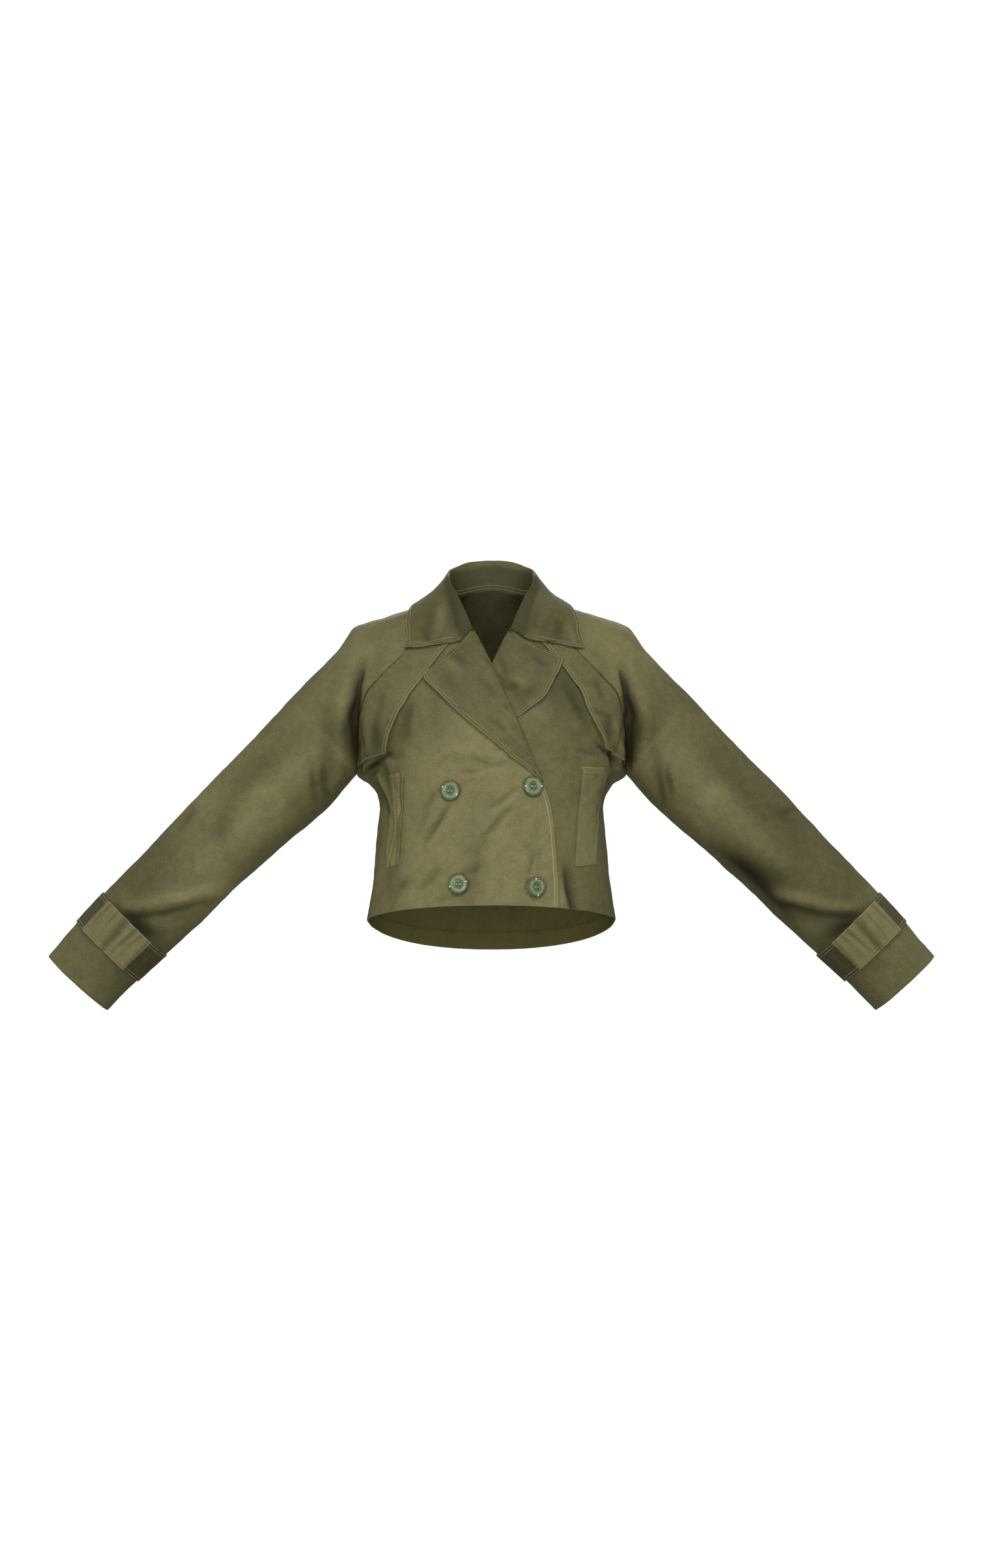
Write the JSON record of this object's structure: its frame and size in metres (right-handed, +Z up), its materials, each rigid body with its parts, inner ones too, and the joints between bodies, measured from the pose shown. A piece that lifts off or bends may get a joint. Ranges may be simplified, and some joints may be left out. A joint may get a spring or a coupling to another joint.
{
  "type": "short double-breasted trench coat",
  "caption": "Short double-breasted trench coat worn open at the neck: raglan sleeves with straps, notched lapels, storm flaps, welt pockets.",
  "frame": {"origin": "middle of the neck base, where the wearer's shoulders hold the coat up", "axes": "+X to the wearer's left, which is the viewer's right; -Y out of the front; +Z up"},
  "size_m": [1.272, 0.2426, 0.6625],
  "materials": {
    "twill": "olive cotton twill, soft sheen",
    "button": "glossy sage green"
  },
  "bodies": {
    "root": {"back": "twill", "front_right": "twill", "front_left": "twill", "sleeve_front_right": "twill", "sleeve_back_right": "twill", "sleeve_front_left": "twill", "sleeve_back_left": "twill", "collar": "twill", "lapel_right": "twill", "lapel_left": "twill", "storm_flap_right": "twill", "storm_flap_left": "twill", "pocket_welt_right": "twill", "pocket_welt_left": "twill", "sleeve_strap_right": "twill", "sleeve_strap_left": "twill", "button_1": "button", "button_2": "button", "button_3": "button", "button_4": "button"}
  },
  "joints": []
}
